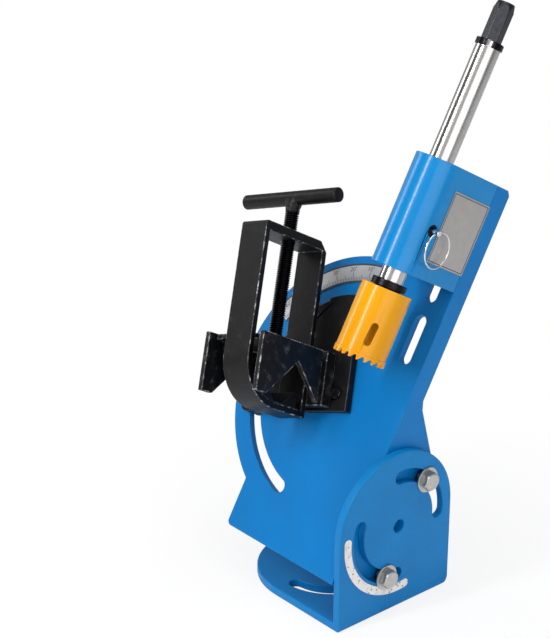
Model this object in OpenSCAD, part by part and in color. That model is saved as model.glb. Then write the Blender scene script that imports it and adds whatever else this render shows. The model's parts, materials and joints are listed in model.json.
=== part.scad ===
// Tube notcher: a bench bracket carries a tilting head, which holds a hole saw
// spindle and a swivelling tube clamp.
// Row frame: origin at the centre of the bracket's foot, +X out of the upright
// plate, +Y to the back, +Z up. Head frame: origin on the tilt axis at the outer
// face of the upright plate, its Z along the spindle, its Y towards the back.
// Clamp frame: X along the tube, Z along the clamp screw, Y towards the back.

/* [Bracket] */
// Length of the foot, from the upright's outer face to its round end
foot_len = 154; // [150:1:180]
// Width of both legs
bracket_w = 136; // [130:1:150]
// Height of the upright leg
upright_h = 156; // [152:1:160]
// Thickness of the bracket plate
bracket_t = 8; // [6:0.5:10]
// Height of the tilt axis above the foot's lower face
tilt_z = 83; // [82:0.5:86]
// Distance of the tilt axis behind the bracket's middle
tilt_y = 3; // [0:0.5:5]
// Radius of the middle line of the bracket's arc slots
arc_r = 48.5; // [46:0.5:50]
// Radius of the plain hole in the middle of each leg
centre_hole_r = 6.2; // [4:0.1:8]

/* [Head] */
// Lean of the head from upright, in degrees
tilt = 30; // [14:1:40]
// Thickness of the head's bent plate
head_t = 7; // [5:0.5:8]
// Distance of the head plate's front face in front of the tilt axis
face_out = 45.7; // [45:0.1:50]
// Radius of the head plate's round outline
round_r = 129; // [126:0.5:132]
// Height of the spindle block's upper end above the tilt axis
head_top = 310.5; // [308:0.5:320]
// Depth of the upper side flange
flange_d = 19.7; // [16:0.1:24]
// Distance of the arm's rear edge behind the tilt axis
arm_back = 26; // [22:0.5:28]

/* [Swivel] */
// Distance of the swivel axis to the left of the tilt frame's zero
swivel_x = 82.6; // [80:0.1:84]
// Height of the swivel axis above the tilt axis
swivel_z = 86.8; // [86:0.1:88]
// Turn of the clamp from square, in degrees
swivel = 20; // [0:1:40]
// Radius of the middle line of the lock slot
lock_r = 103.5; // [102:0.5:105]
// Thickness of the swivel plate
swivel_t = 8; // [6:0.5:9]

/* [Spindle] */
// Diameter of the spindle shaft
shaft_d = 22.5; // [20:0.5:23]
// Width of the spindle block
block_w = 45; // [45:0.5:48]
// Distance of the spindle axis in front of the head plate
axis_out = 57.3; // [56:0.1:60]
// Height of the spindle block's lower end above the tilt axis
block_low = 210; // [208:0.5:212]
// Height of the shaft's upper end above the tilt axis
shaft_top = 420; // [400:1:430]
// Width across the flats of the drive hex
hex_af = 16.5; // [12:0.5:17]

/* [Hole saw] */
// Outer diameter of the saw body
saw_d = 45.6; // [38:0.2:46]
// Length of the saw from its cap to its teeth
saw_len = 65; // [55:1:65]
// Number of saw teeth
saw_teeth = 20; // [16:1:28]

/* [Clamp] */
// Width of the clamp frame along the tube
frame_w = 30; // [26:1:32]
// Distance of the clamp frame's middle to the left of the swivel axis
frame_off = 37.5; // [36:0.5:39]
// Nominal diameter of the clamp screw
screw_d = 13; // [11:0.5:14]
// Pitch of the clamp screw
screw_pitch = 2; // [1.5:0.25:2.5]
// Length of the T-handle's bar
bar_len = 112; // [100:1:118]
// Diameter of the T-handle's bar
bar_d = 13.6; // [12:0.2:14]

/* [Fasteners] */
// Thread diameter of the tilt, block and lock bolts
bolt_d = 10; // [8:1:12]
// Outer diameter of their washers
washer_d = 24; // [20:1:25]
// Thickness of a washer
washer_t = 2; // [1.5:0.5:2.5]

/* [Fits] */
// Gap between faces that slide on each other
slide_gap = 0.1; // [0.05:0.05:0.2]
// Radial clearance of a shaft that turns or slides in a hole
run_gap = 0.05; // [0.02:0.01:0.08]
// Radial clearance of a bolt in its plain hole
bolt_gap = 0.5; // [0.3:0.1:0.8]
// Room on each side of a bolt in its slot
slot_gap = 1.25; // [0.5:0.25:1.5]

/* [Hidden] */
$fn = 64;
eps = 0.01;

// Bracket
face_x = foot_len / 2;
leg_r = bracket_w / 2;
foot_cx = -face_x + leg_r;
upright_cz = upright_h - leg_r;
inner_x = face_x - bracket_t;
corner_r = 9;
corner_low = 8.2;
bend_r = 3;
slot_w = bolt_d + 2 * slot_gap;
// Ends of the arc slots' middle lines, as angles from +Y towards +Z, and on the
// foot from +X towards +Y
upper_slot = [-2, 89];
lower_slot = [163, 268.5];
foot_slots = [[278, 350], [98, 170]];

// Head plate
head_x = -bracket_t - slide_gap;
arm_low = -67.5;
arm_corner = 4;
arm_shoulder = 108;
arm_elbow = 56;
plate_left = -152.3;
plate_corner_r = 5;
tilt_bolt_y = 10;
tilt_bolt_z = sqrt(arc_r * arc_r - tilt_bolt_y * tilt_bolt_y);
tilt_bolt_turn = 10;
lock_slot = [183, 254.6];
block_slot_len = 46;
block_slot_step = 59;
block_slot_low = 135.3;

// Scale strip on the head plate
scale_out_r = 121.6;
scale_w = 17.6;
scale_r = [scale_out_r - scale_w, scale_out_r];
scale_ends = [84, 158];
scale_t = 0.8;

// Spindle block. Its bolts sit near the upper ends of the second and third slot.
axis_x = head_x - block_w / 2;
axis_y = -face_out - axis_out;
block_h = head_top - block_low;
block_bolt_in = 9.5;
block_bolt_z = [for (i = [1, 2]) block_slot_low + i * block_slot_step + block_slot_len - block_bolt_in];
block_bolt_grip = 20;
block_bolt_room = 6;
plate_w = 50;
plate_h = 65;
plate_t = 0.8;
plate_up = 15.8;
plate_low = block_low + plate_up;
plate_back = 0.3;
plate_rim = 0.6;
plate_dish = 0.2;

// Bearings of the spindle
shaft_r = shaft_d / 2;
shaft_room = 0.5;
bore_r = shaft_r + shaft_room;
roller_r = 1.2;
roller_pitch_r = shaft_r + run_gap + roller_r;
roller_count = 16;
roller_len = 20;
cup_wall = 1;
cup_r = roller_pitch_r + roller_r + run_gap + cup_wall;
cup_len = 26;
cup_inset = 4;
cage_end_gap = 0.5;
cage_half_t = 0.8;
pocket_gap = 0.06;
seal_t = 3;
seal_inset = 0.3;

// Spindle
shaft_below = 11.4;
shaft_low = block_low - shaft_below;
collar_len = 5.5;
collar_lip = 1.25;
collar_seat = 1.5;
collar_r = shaft_r + collar_lip;
collar_z = shaft_top - collar_len;
nose_r = 7.9;
nose_len = 22.6;
nose_low = shaft_low - nose_len;
hex_len = 35.4;
hex_turn = 43;
spigot_r = 5;
spigot_len = 12;
lock_bore_depth = 7;
lock_bore_gap = 0.3;

// Hole saw and the nut above it
saw_nut_t = 7;
saw_top = shaft_low - saw_nut_t;
saw_r = saw_d / 2;
saw_wall = 1.8;
saw_cap_t = 6;
nut_r = 16.2;
nut_neck_r = 12;
nut_neck_h = 0.8;
nut_flat_in = 1;
nut_turn = 35;
tooth_set = 0.6;
tooth_h = 3.8;
tooth_band = 2;
window_w = 6.4;
window_h = 21;
window_z = 24.2;
window_turn = 47;
window_lean = 4;
window_count = 3;

// Lock pin, in a threaded sleeve in the block's side. Distances in_* run from
// the spindle axis along the pin.
pin_up = 41.7;
pin_z = block_low + pin_up;
pin_r = 2.7;
pin_out = 8.3;
pin_free = 0.4;
pin_in = shaft_r + pin_free;
pin_end = block_w / 2 + pin_out;
pin_tip = 1;
pin_tail = 0.5;
pin_head_r = 4.3;
pin_head_t = 1.2;
pin_head_deep = 3.65;
pin_head_in = bore_r + pin_head_deep;
sleeve_r = 5.4;
sleeve_wall = 0.55;
sleeve_in = bore_r + sleeve_wall;
sleeve_sunk = 1.5;
sleeve_end = block_w / 2 - sleeve_sunk;
sleeve_lip = 1.2;
sleeve_room_r = 4.6;
pin_eye_r = 1.5;
pin_eye_back = 2.6;
ring_r = 16.1;
ring_wire_r = 0.85;
ring_sag = 0.12;
ring_turn = 5;

// Swivel plate
clamp_y = -face_out - slide_gap;
swivel_low = -17;
swivel_right = 13.5;
swivel_arc_r = 88.5;
pointer_r = 91;
pointer_from = -22;
lock_q = -6.3;
lock_p = -sqrt(lock_r * lock_r - lock_q * lock_q);
lug_past = 10.7;
lug_left = lock_p - lug_past;
lug_top = 14;
lug_r = 8;
lug_len = 68;

// Clamp frame
frame_x = -frame_off;
jaw_y = axis_y;
spacer_t = 12.2;
frame_back = clamp_y - swivel_t - spacer_t;
frame_reach = 47;
frame_front = jaw_y - frame_reach;
frame_top = 136.5;
frame_bridge = 8.5;
frame_low = -26;
frame_t = 6;
frame_bend_r = 42;
frame_cut = 9;
frame_round = 3;
spacer_left = 32.5;
spacer_low = -14;
spacer_top = 36;
vee_half = 23;
vee_h = 20;
vee_floor_h = 7.5;
vee_apex_h = 2;
vee_top = frame_low + vee_h;
vee_floor = frame_low + vee_floor_h;
vee_apex = frame_low + vee_apex_h;

// Upper jaw, its ends to both sides of the frame's middle and of the tube
jaw_sides = [37.5, 32.5];
jaw_reach = 49.6;
jaw_rest = 31.1;
jaw_left = frame_x - jaw_sides[0];
jaw_right = frame_x + jaw_sides[1];
jaw_front = jaw_y - jaw_reach;
jaw_back = jaw_y + jaw_rest;
jaw_wall = 5;
jaw_top = 35.2;
jaw_low = -18;
jaw_apex = 17.9;
leg_gap = 2;

// Clamp screw
jaw_washer_r = 8;
jaw_washer_t = 1.4;
screw_low = jaw_top + jaw_washer_t + slide_gap;
screw_tip = 4;
screw_depth = screw_pitch * 0.6;
core_r = screw_d / 2 - screw_depth;
bar_q = 169.6;
bar_off = -2.5;
bar_chamfer = 1;
weld_h = 13.6;
weld_flare = 3;
rivet_r = 3.2;
rivet_lip = 2;
rivet_head_t = 2.5;

// Fasteners
bolt_r = bolt_d / 2;
bolt_af = 1.6 * bolt_d;
bolt_head_t = 0.64 * bolt_d;
bolt_tip = 1;
bolt_spare = 3;
nut_h = 0.84 * bolt_d;
washer_r = washer_d / 2;
block_washer_in = 2;
block_washer_r = washer_r - block_washer_in;
pivot_r = 6;
pivot_af = 18;
pivot_head_t = 7.5;
pivot_washer_r = 12;
// A hex's corners are cut by a circle and its end by a cone, as shares of half
// its width, over the last share of its height
hex_corner = 1.12;
hex_end = 0.93;
hex_taper = 0.2;

// ---- shared shapes ----

// A ring sector around the origin: radii r = [inner, outer], angles a = [from, to]
module sector(r, a, h) {
    translate([0, 0, -h / 2]) rotate([0, 0, a[0]])
        rotate_extrude(angle = a[1] - a[0], $fn = 96) translate([r[0], 0]) square([r[1] - r[0], h]);
}

// An arc slot with round ends, for cutting. The ends are a hair wider than the
// arc, so that their circles cross its sides.
module arc_cut(r, w, a, h) {
    sector([r - w / 2, r + w / 2], a, h);
    for (t = a) rotate([0, 0, t]) translate([r, 0, -h / 2]) cylinder(r = w / 2 + 2 * eps, h = h);
}

// A straight slot along Y with round ends, starting at the origin's lower end
module long_cut(w, len, h) {
    translate([-w / 2, w / 2, -h / 2]) cube([w, len - w, h]);
    for (y = [w / 2, len - w / 2]) translate([0, y, -h / 2]) cylinder(r = w / 2, h = h);
}

// A hex prism with a chamfered end, standing on z = 0
module hex_prism(af, h) {
    straight = h * (1 - hex_taper);
    intersection() {
        cylinder(r = af / sqrt(3), h = h, $fn = 6);
        union() {
            cylinder(r = af / 2 * hex_corner, h = straight);
            translate([0, 0, straight - eps])
                cylinder(r1 = af / 2 * hex_corner, r2 = af / 2 * hex_end, h = h - straight + eps);
        }
    }
}

// A hex bolt whose head stands on z = 0 and whose shank goes down
module hex_bolt(r, af, head_h, len) {
    hex_prism(af, head_h);
    translate([0, 0, bolt_tip - len]) cylinder(r = r, h = len - bolt_tip + eps);
    translate([0, 0, -len]) cylinder(r1 = r - bolt_tip, r2 = r, h = bolt_tip + eps);
}

module washer(r, hole, t) {
    difference() {
        cylinder(r = r, h = t);
        translate([0, 0, -1]) cylinder(r = hole, h = t + 2);
    }
}

// Places its children in the head frame
module in_head() {
    translate([face_x, tilt_y, tilt_z]) rotate([-tilt, 0, 0]) children();
}

// Places its children in the clamp frame
module in_clamp() {
    in_head() translate([-swivel_x, 0, swivel_z]) rotate([0, -swivel, 0]) children();
}

// Turns a shape drawn in XY and extruded along Z so that it lies in XZ with its
// thickness along Y, X staying X and Y becoming Z
module upright_xz() {
    rotate([90, 0, 0]) children();
}

// ---- bracket ----

module leg_slots(arcs) {
    for (a = arcs) arc_cut(arc_r, slot_w, a, 3 * bracket_t);
    cylinder(r = centre_hole_r, h = 3 * bracket_t, center = true);
}

// The upright's outline in its own plane: X is the row's Y, Y is the row's Z.
// The arc of its lower back corner meets the lower face at an angle.
module upright_outline() {
    corner = [leg_r - corner_r, corner_low];
    difference() {
        union() {
            translate([0, upright_cz]) circle(r = leg_r, $fn = 128);
            translate([-leg_r, 0]) square([bracket_w, upright_cz]);
        }
        difference() {
            translate([corner[0], -1]) square([corner_r + 1, corner_low + 1]);
            translate(corner) circle(r = corner_r);
        }
    }
}

// The foot's outline, running into the upright behind its corner
module foot_outline() {
    translate([foot_cx, 0]) circle(r = leg_r, $fn = 128);
    polygon([
        [foot_cx, -leg_r], [inner_x + bend_r, -leg_r], [inner_x + bend_r, leg_r - corner_r],
        [inner_x, leg_r - corner_r], [inner_x - corner_r, leg_r], [foot_cx, leg_r]
    ]);
}

module base_bracket() {
    color("#1f78b8")
    difference() {
        union() {
            translate([inner_x, 0, 0]) rotate([90, 0, 90])
                linear_extrude(height = bracket_t) upright_outline();
            linear_extrude(height = bracket_t) foot_outline();
        }
        translate([face_x, tilt_y, tilt_z]) rotate([90, 0, 90]) leg_slots([upper_slot, lower_slot]);
        translate([foot_cx, 0, 0]) leg_slots(foot_slots);
        // outside of the bend
        translate([face_x - bend_r, 0, bend_r]) rotate([90, 0, 0]) difference() {
            translate([0, -bend_r - 1, -leg_r - 1]) cube([bend_r + 1, bend_r + 1, bracket_w + 2]);
            translate([0, 0, -leg_r - 2]) cylinder(r = bend_r, h = bracket_w + 4);
        }
    }
}

// ---- head plate ----

// The side flange in the head frame's YZ plane
module flange_outline() {
    back = -face_out + flange_d;
    polygon([
        [-face_out, arm_low], [arm_back - arm_corner, arm_low], [arm_back, arm_low + arm_corner],
        [arm_back, arm_elbow], [back + arm_corner, arm_shoulder - arm_corner],
        [back, arm_shoulder + arm_corner],
        [back, head_top - arm_corner], [back - arm_corner, head_top], [-face_out, head_top]
    ]);
}

// The front plate in the head frame's XZ plane
module face_outline() {
    corner = [plate_left + plate_corner_r, arm_low + plate_corner_r];
    chord = sqrt(round_r * round_r - pow(plate_left + swivel_x, 2));
    intersection() {
        union() {
            translate([-swivel_x, swivel_z]) circle(r = round_r, $fn = 160);
            translate([plate_left, swivel_z - chord]) mirror([0, 1])
                square([head_x - plate_left, swivel_z - chord - arm_low - plate_corner_r]);
            translate([corner[0], arm_low]) square([head_x - corner[0], plate_corner_r + eps]);
            translate(corner) circle(r = plate_corner_r);
            translate([head_x - block_w, swivel_z]) square([block_w, head_top - swivel_z]);
        }
        translate([plate_left - round_r, arm_low])
            square([round_r + head_x - plate_left, head_top - arm_low]);
    }
}

module main_plate() {
    color("#0a7bc4") in_head() difference() {
        union() {
            translate([0, -face_out + head_t, 0]) upright_xz() linear_extrude(height = head_t) face_outline();
            translate([head_x - head_t, 0, 0]) rotate([90, 0, 90])
                linear_extrude(height = head_t) flange_outline();
        }
        // tilt bolts
        for (z = [-tilt_bolt_z, tilt_bolt_z]) translate([head_x - head_t - 1, tilt_bolt_y, z])
            rotate([0, 90, 0]) cylinder(r = bolt_r + bolt_gap, h = head_t + 2);
        // block slots
        for (i = [0 : 2]) translate([axis_x, -face_out, block_slot_low + i * block_slot_step])
            upright_xz() long_cut(slot_w, block_slot_len, 3 * head_t);
        // swivel axis and lock slot
        translate([-swivel_x, -face_out, swivel_z]) upright_xz() {
            cylinder(r = pivot_r + run_gap, h = 3 * head_t, center = true);
            arc_cut(lock_r, slot_w, lock_slot, 3 * head_t);
        }
    }
}

module angle_scale() {
    color("#9a9da1") in_head() translate([-swivel_x, -face_out - scale_t / 2, swivel_z]) upright_xz()
        sector(scale_r, scale_ends, scale_t);
}

module tilt_bolts() {
    color("#c9cbcd") in_head() for (z = [-tilt_bolt_z, tilt_bolt_z])
        translate([washer_t, tilt_bolt_y, z]) rotate([0, 90, 0]) rotate([0, 0, tilt_bolt_turn])
            hex_bolt(bolt_r, bolt_af, bolt_head_t, washer_t + bracket_t + head_t + nut_h + bolt_spare);
}

module tilt_washers() {
    color("#c9cbcd") in_head() for (z = [-tilt_bolt_z, tilt_bolt_z])
        translate([slide_gap / 2, tilt_bolt_y, z]) rotate([0, 90, 0])
            washer(washer_r, bolt_r + run_gap, washer_t - slide_gap / 2);
}

module tilt_nuts() {
    color("#c9cbcd") in_head() for (z = [-tilt_bolt_z, tilt_bolt_z])
        translate([head_x - head_t, tilt_bolt_y, z]) rotate([0, -90, 0]) difference() {
            hex_prism(bolt_af, nut_h);
            translate([0, 0, -1]) cylinder(r = bolt_r, h = nut_h + 2);
        }
}

// ---- spindle block ----

// Cross-section of the block: a half round in front of two flat sides
module block_outline() {
    circle(r = block_w / 2, $fn = 96);
    translate([-block_w / 2, 0]) square([block_w, axis_out - slide_gap]);
}

module spindle_block() {
    color("#1c8ed4") in_head() difference() {
        translate([axis_x, axis_y, block_low]) linear_extrude(height = block_h) block_outline();
        translate([axis_x, axis_y, block_low - 1]) cylinder(r = bore_r, h = block_h + 2, $fn = 96);
        // bearing seats, open at both ends
        translate([axis_x, axis_y, block_low - 1]) cylinder(r = cup_r, h = cup_inset + cup_len + 1, $fn = 96);
        translate([axis_x, axis_y, head_top - cup_inset - cup_len])
            cylinder(r = cup_r, h = cup_inset + cup_len + 1, $fn = 96);
        // threaded holes for the block bolts
        for (z = block_bolt_z) translate([axis_x, -face_out, z]) rotate([90, 0, 0])
            translate([0, 0, -1]) cylinder(r = bolt_r, h = block_bolt_grip + block_bolt_room + 1);
        // hole of the lock pin's sleeve
        translate([axis_x, axis_y, pin_z]) rotate([0, 90, 0]) cylinder(r = sleeve_r, h = block_w);
    }
}

module name_plate() {
    color("#b3b1ad") in_head() translate([head_x, -face_out - plate_back - plate_w, plate_low]) difference() {
        cube([plate_t, plate_w, plate_h]);
        translate([plate_t - plate_dish, plate_rim, plate_rim])
            cube([plate_t, plate_w - 2 * plate_rim, plate_h - 2 * plate_rim]);
    }
}

module block_bolts() {
    color("#4a4c50") in_head() for (z = block_bolt_z)
        translate([axis_x, -face_out + head_t + washer_t, z]) rotate([-90, 0, 0])
            hex_bolt(bolt_r, bolt_af, bolt_head_t, washer_t + head_t + block_bolt_grip);
}

module block_washers() {
    color("#c9cbcd") in_head() for (z = block_bolt_z)
        translate([axis_x, -face_out + head_t + slide_gap / 2, z]) rotate([-90, 0, 0])
            washer(block_washer_r, bolt_r + run_gap, washer_t - slide_gap / 2);
}

// Lower ends of the two bearings
function cup_z() = [block_low + cup_inset, head_top - cup_inset - cup_len];

module bearing_cups() {
    color("#b9bcc0") in_head() for (z = cup_z()) translate([axis_x, axis_y, z]) difference() {
        cylinder(r = cup_r, h = cup_len, $fn = 96);
        translate([0, 0, -1]) cylinder(r = bore_r, h = cup_len + 2, $fn = 96);
        translate([0, 0, cup_wall]) cylinder(r = cup_r - cup_wall, h = cup_len - 2 * cup_wall, $fn = 96);
    }
}

// Rollers standing on z = 0 round the shaft
module roller_ring(r, len) {
    for (i = [0 : roller_count - 1]) rotate([0, 0, i * 360 / roller_count])
        translate([roller_pitch_r, 0, 0]) cylinder(r = r, h = len, $fn = 16);
}

module bearing_cages() {
    cage_len = cup_len - 2 * (cup_wall + cage_end_gap);
    color("#8a7440") in_head() for (z = cup_z())
        translate([axis_x, axis_y, z + cup_wall + cage_end_gap]) difference() {
            cylinder(r = roller_pitch_r + cage_half_t, h = cage_len, $fn = 96);
            translate([0, 0, -1]) cylinder(r = bore_r, h = cage_len + 2, $fn = 96);
            translate([0, 0, (cage_len - roller_len) / 2 - pocket_gap])
                roller_ring(roller_r + pocket_gap, roller_len + 2 * pocket_gap);
        }
}

module bearing_rollers() {
    color("#d0d3d6") in_head() for (z = cup_z())
        translate([axis_x, axis_y, z + (cup_len - roller_len) / 2]) roller_ring(roller_r, roller_len);
}

module spindle_seals() {
    color("#202022") in_head() for (z = [block_low + seal_inset, head_top - seal_inset - seal_t])
        translate([axis_x, axis_y, z]) difference() {
            cylinder(r = cup_r, h = seal_t, $fn = 96);
            translate([0, 0, -1]) cylinder(r = shaft_r + run_gap, h = seal_t + 2, $fn = 96);
        }
}

// ---- spindle ----

module spindle_shaft() {
    color("#c8ccd0") in_head() translate([axis_x, axis_y, 0]) difference() {
        union() {
            translate([0, 0, shaft_low]) cylinder(r = shaft_r, h = shaft_top - shaft_low, $fn = 96);
            translate([0, 0, nose_low]) cylinder(r = nose_r, h = shaft_low - nose_low + eps);
        }
        translate([0, 0, shaft_top - spigot_len]) cylinder(r = spigot_r, h = spigot_len + 1);
        translate([shaft_r - lock_bore_depth, 0, pin_z]) rotate([0, 90, 0])
            cylinder(r = pin_r + lock_bore_gap, h = lock_bore_depth + 1);
        // seat of the stop collar
        translate([0, 0, collar_z]) difference() {
            cylinder(r = shaft_r + 1, h = collar_len + 1, $fn = 96);
            translate([0, 0, -1]) cylinder(r = shaft_r - collar_seat, h = collar_len + 3, $fn = 96);
        }
    }
}

module stop_collar() {
    color("#232427") in_head() translate([axis_x, axis_y, collar_z]) difference() {
        cylinder(r = collar_r, h = collar_len, $fn = 96);
        translate([0, 0, -1]) cylinder(r = shaft_r - collar_seat, h = collar_len + 2, $fn = 96);
    }
}

module drive_hex() {
    color("#3a3a3c") in_head() translate([axis_x, axis_y, 0]) {
        translate([0, 0, shaft_top]) rotate([0, 0, hex_turn]) hex_prism(hex_af, hex_len);
        translate([0, 0, shaft_top - spigot_len]) cylinder(r = spigot_r, h = spigot_len + eps);
    }
}

module saw_nut() {
    nut_t = shaft_low - saw_top;
    color("#242424") in_head() translate([axis_x, axis_y, saw_top]) difference() {
        union() {
            cylinder(r = nut_neck_r, h = nut_t);
            translate([0, 0, nut_neck_h]) cylinder(r = nut_r, h = nut_t - nut_neck_h, $fn = 96);
        }
        translate([0, 0, -1]) cylinder(r = nose_r, h = nut_t + 2);
        // wrench flats
        for (a = [0, 180]) rotate([0, 0, a + nut_turn]) translate([nut_r - nut_flat_in, -nut_r, nut_neck_h])
            cube([2 * nut_flat_in, 2 * nut_r, nut_t]);
    }
}

// One gullet between two teeth, cut across the rim. The tooth after it has the
// steep face.
module gullet() {
    step = 2 * PI * saw_r / saw_teeth;
    rotate([90, 0, 90]) translate([0, 0, saw_r - 2 * saw_wall]) linear_extrude(height = 4 * saw_wall)
        polygon([[step * 0.08, -1], [step * 0.6, tooth_h * 0.85], [step * 0.78, tooth_h],
            [step * 0.95, tooth_h * 0.8], [step, -1]]);
}

module hole_saw() {
    color("#f0b90a") in_head() translate([axis_x, axis_y, saw_top - saw_len]) difference() {
        union() {
            cylinder(r = saw_r, h = saw_len, $fn = 96);
            cylinder(r = saw_r + tooth_set, h = tooth_h + tooth_band, $fn = 96);
        }
        translate([0, 0, -1]) cylinder(r = saw_r - saw_wall, h = saw_len - saw_cap_t + 1, $fn = 96);
        translate([0, 0, saw_len - saw_cap_t - 1]) cylinder(r = nose_r, h = saw_cap_t + 2);
        for (i = [0 : saw_teeth - 1]) rotate([0, 0, i * 360 / saw_teeth]) gullet();
        for (i = [0 : window_count - 1]) rotate([0, 0, window_turn - i * 360 / window_count])
            translate([0, -saw_r, window_z]) rotate([90, 0, 0]) rotate([0, 0, -window_lean])
                translate([0, -window_h / 2, 0]) long_cut(window_w, window_h, 4 * saw_wall);
    }
}

// ---- lock pin ----

// Places its children with Z along the lock pin, starting on the spindle axis
module on_pin() {
    in_head() translate([axis_x, axis_y, pin_z]) rotate([0, 90, 0]) children();
}

// Places its children at the pin's eye, with Z straight up and the eye along Y
module at_eye() {
    translate([head_x + pin_out - pin_eye_back, axis_y, pin_z]) rotate([tilt, 0, 0])
        rotate([0, 0, ring_turn]) children();
}

module plunger_sleeve() {
    color("#2b2b2e") on_pin() difference() {
        translate([0, 0, sleeve_in]) cylinder(r = sleeve_r, h = sleeve_end - sleeve_in);
        translate([0, 0, sleeve_in - 1]) cylinder(r = pin_r + run_gap, h = sleeve_end - sleeve_in + 2);
        translate([0, 0, sleeve_in + sleeve_lip])
            cylinder(r = sleeve_room_r, h = sleeve_end - sleeve_in - 2 * sleeve_lip);
    }
}

module lock_pin() {
    color("#d6d8da") difference() {
        on_pin() {
            translate([0, 0, pin_in]) cylinder(r1 = pin_r - pin_tip, r2 = pin_r, h = pin_tip);
            translate([0, 0, pin_in + pin_tip])
                cylinder(r = pin_r, h = pin_end - pin_in - pin_tip - pin_tail);
            translate([0, 0, pin_end - pin_tail]) cylinder(r1 = pin_r, r2 = pin_r - pin_tail, h = pin_tail);
            translate([0, 0, pin_head_in]) cylinder(r = pin_head_r, h = pin_head_t);
        }
        in_head() at_eye() rotate([90, 0, 0]) cylinder(r = pin_eye_r, h = 4 * pin_r, center = true);
    }
}

module pin_ring() {
    color("#d6d8da") in_head() at_eye() translate([0, 0, ring_sag - ring_r]) rotate([0, 90, 0])
        rotate_extrude($fn = 64) translate([ring_r, 0]) circle(r = ring_wire_r, $fn = 24);
}

// ---- clamp ----

// The swivel plate in the clamp frame's XZ plane
module swivel_outline() {
    intersection() {
        union() {
            circle(r = swivel_arc_r, $fn = 128);
            intersection() {
                circle(r = pointer_r, $fn = 128);
                translate([pointer_from, 0]) square([swivel_right - pointer_from, pointer_r]);
            }
        }
        translate([-swivel_arc_r, swivel_low]) square([swivel_arc_r + swivel_right, pointer_r - swivel_low]);
    }
    // lug for the lock bolt
    translate([lug_left + lug_r, swivel_low]) square([lug_len - lug_r, lug_top - swivel_low]);
    translate([lug_left, swivel_low + lug_r]) square([2 * lug_r, lug_top - swivel_low - 2 * lug_r]);
    for (q = [swivel_low + lug_r, lug_top - lug_r]) translate([lug_left + lug_r, q]) circle(r = lug_r);
}

module swivel_plate() {
    color("#1d1d20") in_clamp() difference() {
        translate([0, clamp_y, 0]) upright_xz() linear_extrude(height = swivel_t) swivel_outline();
        translate([0, clamp_y + 1, 0]) rotate([90, 0, 0]) cylinder(r = pivot_r, h = swivel_t + 2);
        translate([lock_p, clamp_y + 1, lock_q]) rotate([90, 0, 0]) cylinder(r = bolt_r, h = swivel_t + 2);
    }
}

module pivot_bolt() {
    color("#c9cbcd") in_clamp() translate([0, -face_out + head_t + washer_t, 0]) rotate([-90, 0, 0])
        hex_bolt(pivot_r, pivot_af, pivot_head_t, washer_t + head_t + slide_gap + swivel_t);
}

module pivot_washer() {
    color("#c9cbcd") in_clamp() translate([0, -face_out + head_t + slide_gap / 2, 0]) rotate([-90, 0, 0])
        washer(pivot_washer_r, pivot_r + run_gap, washer_t - slide_gap / 2);
}

module lock_bolt() {
    color("#c9cbcd") in_clamp() translate([lock_p, -face_out + head_t + washer_t, lock_q]) rotate([-90, 0, 0])
        hex_bolt(bolt_r, bolt_af, bolt_head_t, washer_t + head_t + slide_gap + swivel_t);
}

module lock_washer() {
    color("#c9cbcd") in_clamp() translate([lock_p, -face_out + head_t + slide_gap / 2, lock_q])
        rotate([-90, 0, 0]) washer(washer_r, bolt_r + run_gap, washer_t - slide_gap / 2);
}

module spacer_block() {
    color("#1d1d20") in_clamp() translate([frame_x - spacer_left, frame_back, spacer_low])
        cube([2 * spacer_left, spacer_t, spacer_top - spacer_low]);
}

// Outline of the clamp frame across the tube: X is the clamp frame's Y. The
// lower front corner is bent, the upper back one cut off and the upper front
// one rounded.
module frame_outer() {
    r = frame_bend_r;
    translate([frame_front + r, frame_low + r]) circle(r = r, $fn = 96);
    translate([frame_front + frame_round, frame_top - frame_round]) circle(r = frame_round);
    polygon([
        [frame_front, frame_low + r], [frame_front + r, frame_low], [frame_back, frame_low],
        [frame_back, frame_top - frame_cut], [frame_back - frame_cut, frame_top],
        [frame_front + frame_round, frame_top], [frame_front, frame_top - frame_round]
    ]);
}

module frame_inner() {
    r = frame_bend_r - frame_t;
    low = frame_low + frame_t;
    front = frame_front + frame_t;
    back = frame_back - frame_t;
    top = frame_top - frame_bridge;
    translate([front, low + r]) square([back - front, top - low - r]);
    translate([front + r, low]) square([back - front - r, r + eps]);
    translate([front + r, low + r]) circle(r = r, $fn = 96);
}

module clamp_frame() {
    color("#232326") in_clamp() difference() {
        translate([frame_x - frame_w / 2, 0, 0]) rotate([90, 0, 90]) linear_extrude(height = frame_w)
            difference() {
                frame_outer();
                frame_inner();
            }
        translate([frame_x, jaw_y, frame_top - frame_bridge - 1])
            cylinder(r = screw_d / 2 + run_gap, h = frame_bridge + 2);
    }
}

// A block with a vee, shaped to lie in the frame's bend
module lower_jaw() {
    color("#232326") in_clamp() translate([frame_x - frame_w / 2, 0, 0]) rotate([90, 0, 90])
        linear_extrude(height = frame_w) intersection() {
            frame_inner();
            translate([jaw_y, 0]) polygon([
                [-vee_half, frame_low], [vee_half, frame_low], [vee_half, vee_top],
                [vee_top - vee_apex, vee_top], [vee_floor - vee_apex, vee_floor],
                [vee_apex - vee_floor, vee_floor], [vee_apex - vee_top, vee_top], [-vee_half, vee_top]
            ]);
        }
}

// The thread runs from just above the plain tip to the weld
module clamp_screw() {
    color("#1a1a1c") in_clamp() translate([frame_x, jaw_y, 0]) {
        translate([0, 0, screw_low]) cylinder(r = core_r, h = bar_q - bar_d / 2 + 1 - screw_low);
        translate([0, 0, screw_low + screw_tip])
            cylinder(r = screw_d / 2, h = bar_q - weld_h - screw_low - screw_tip);
    }
}

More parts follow.
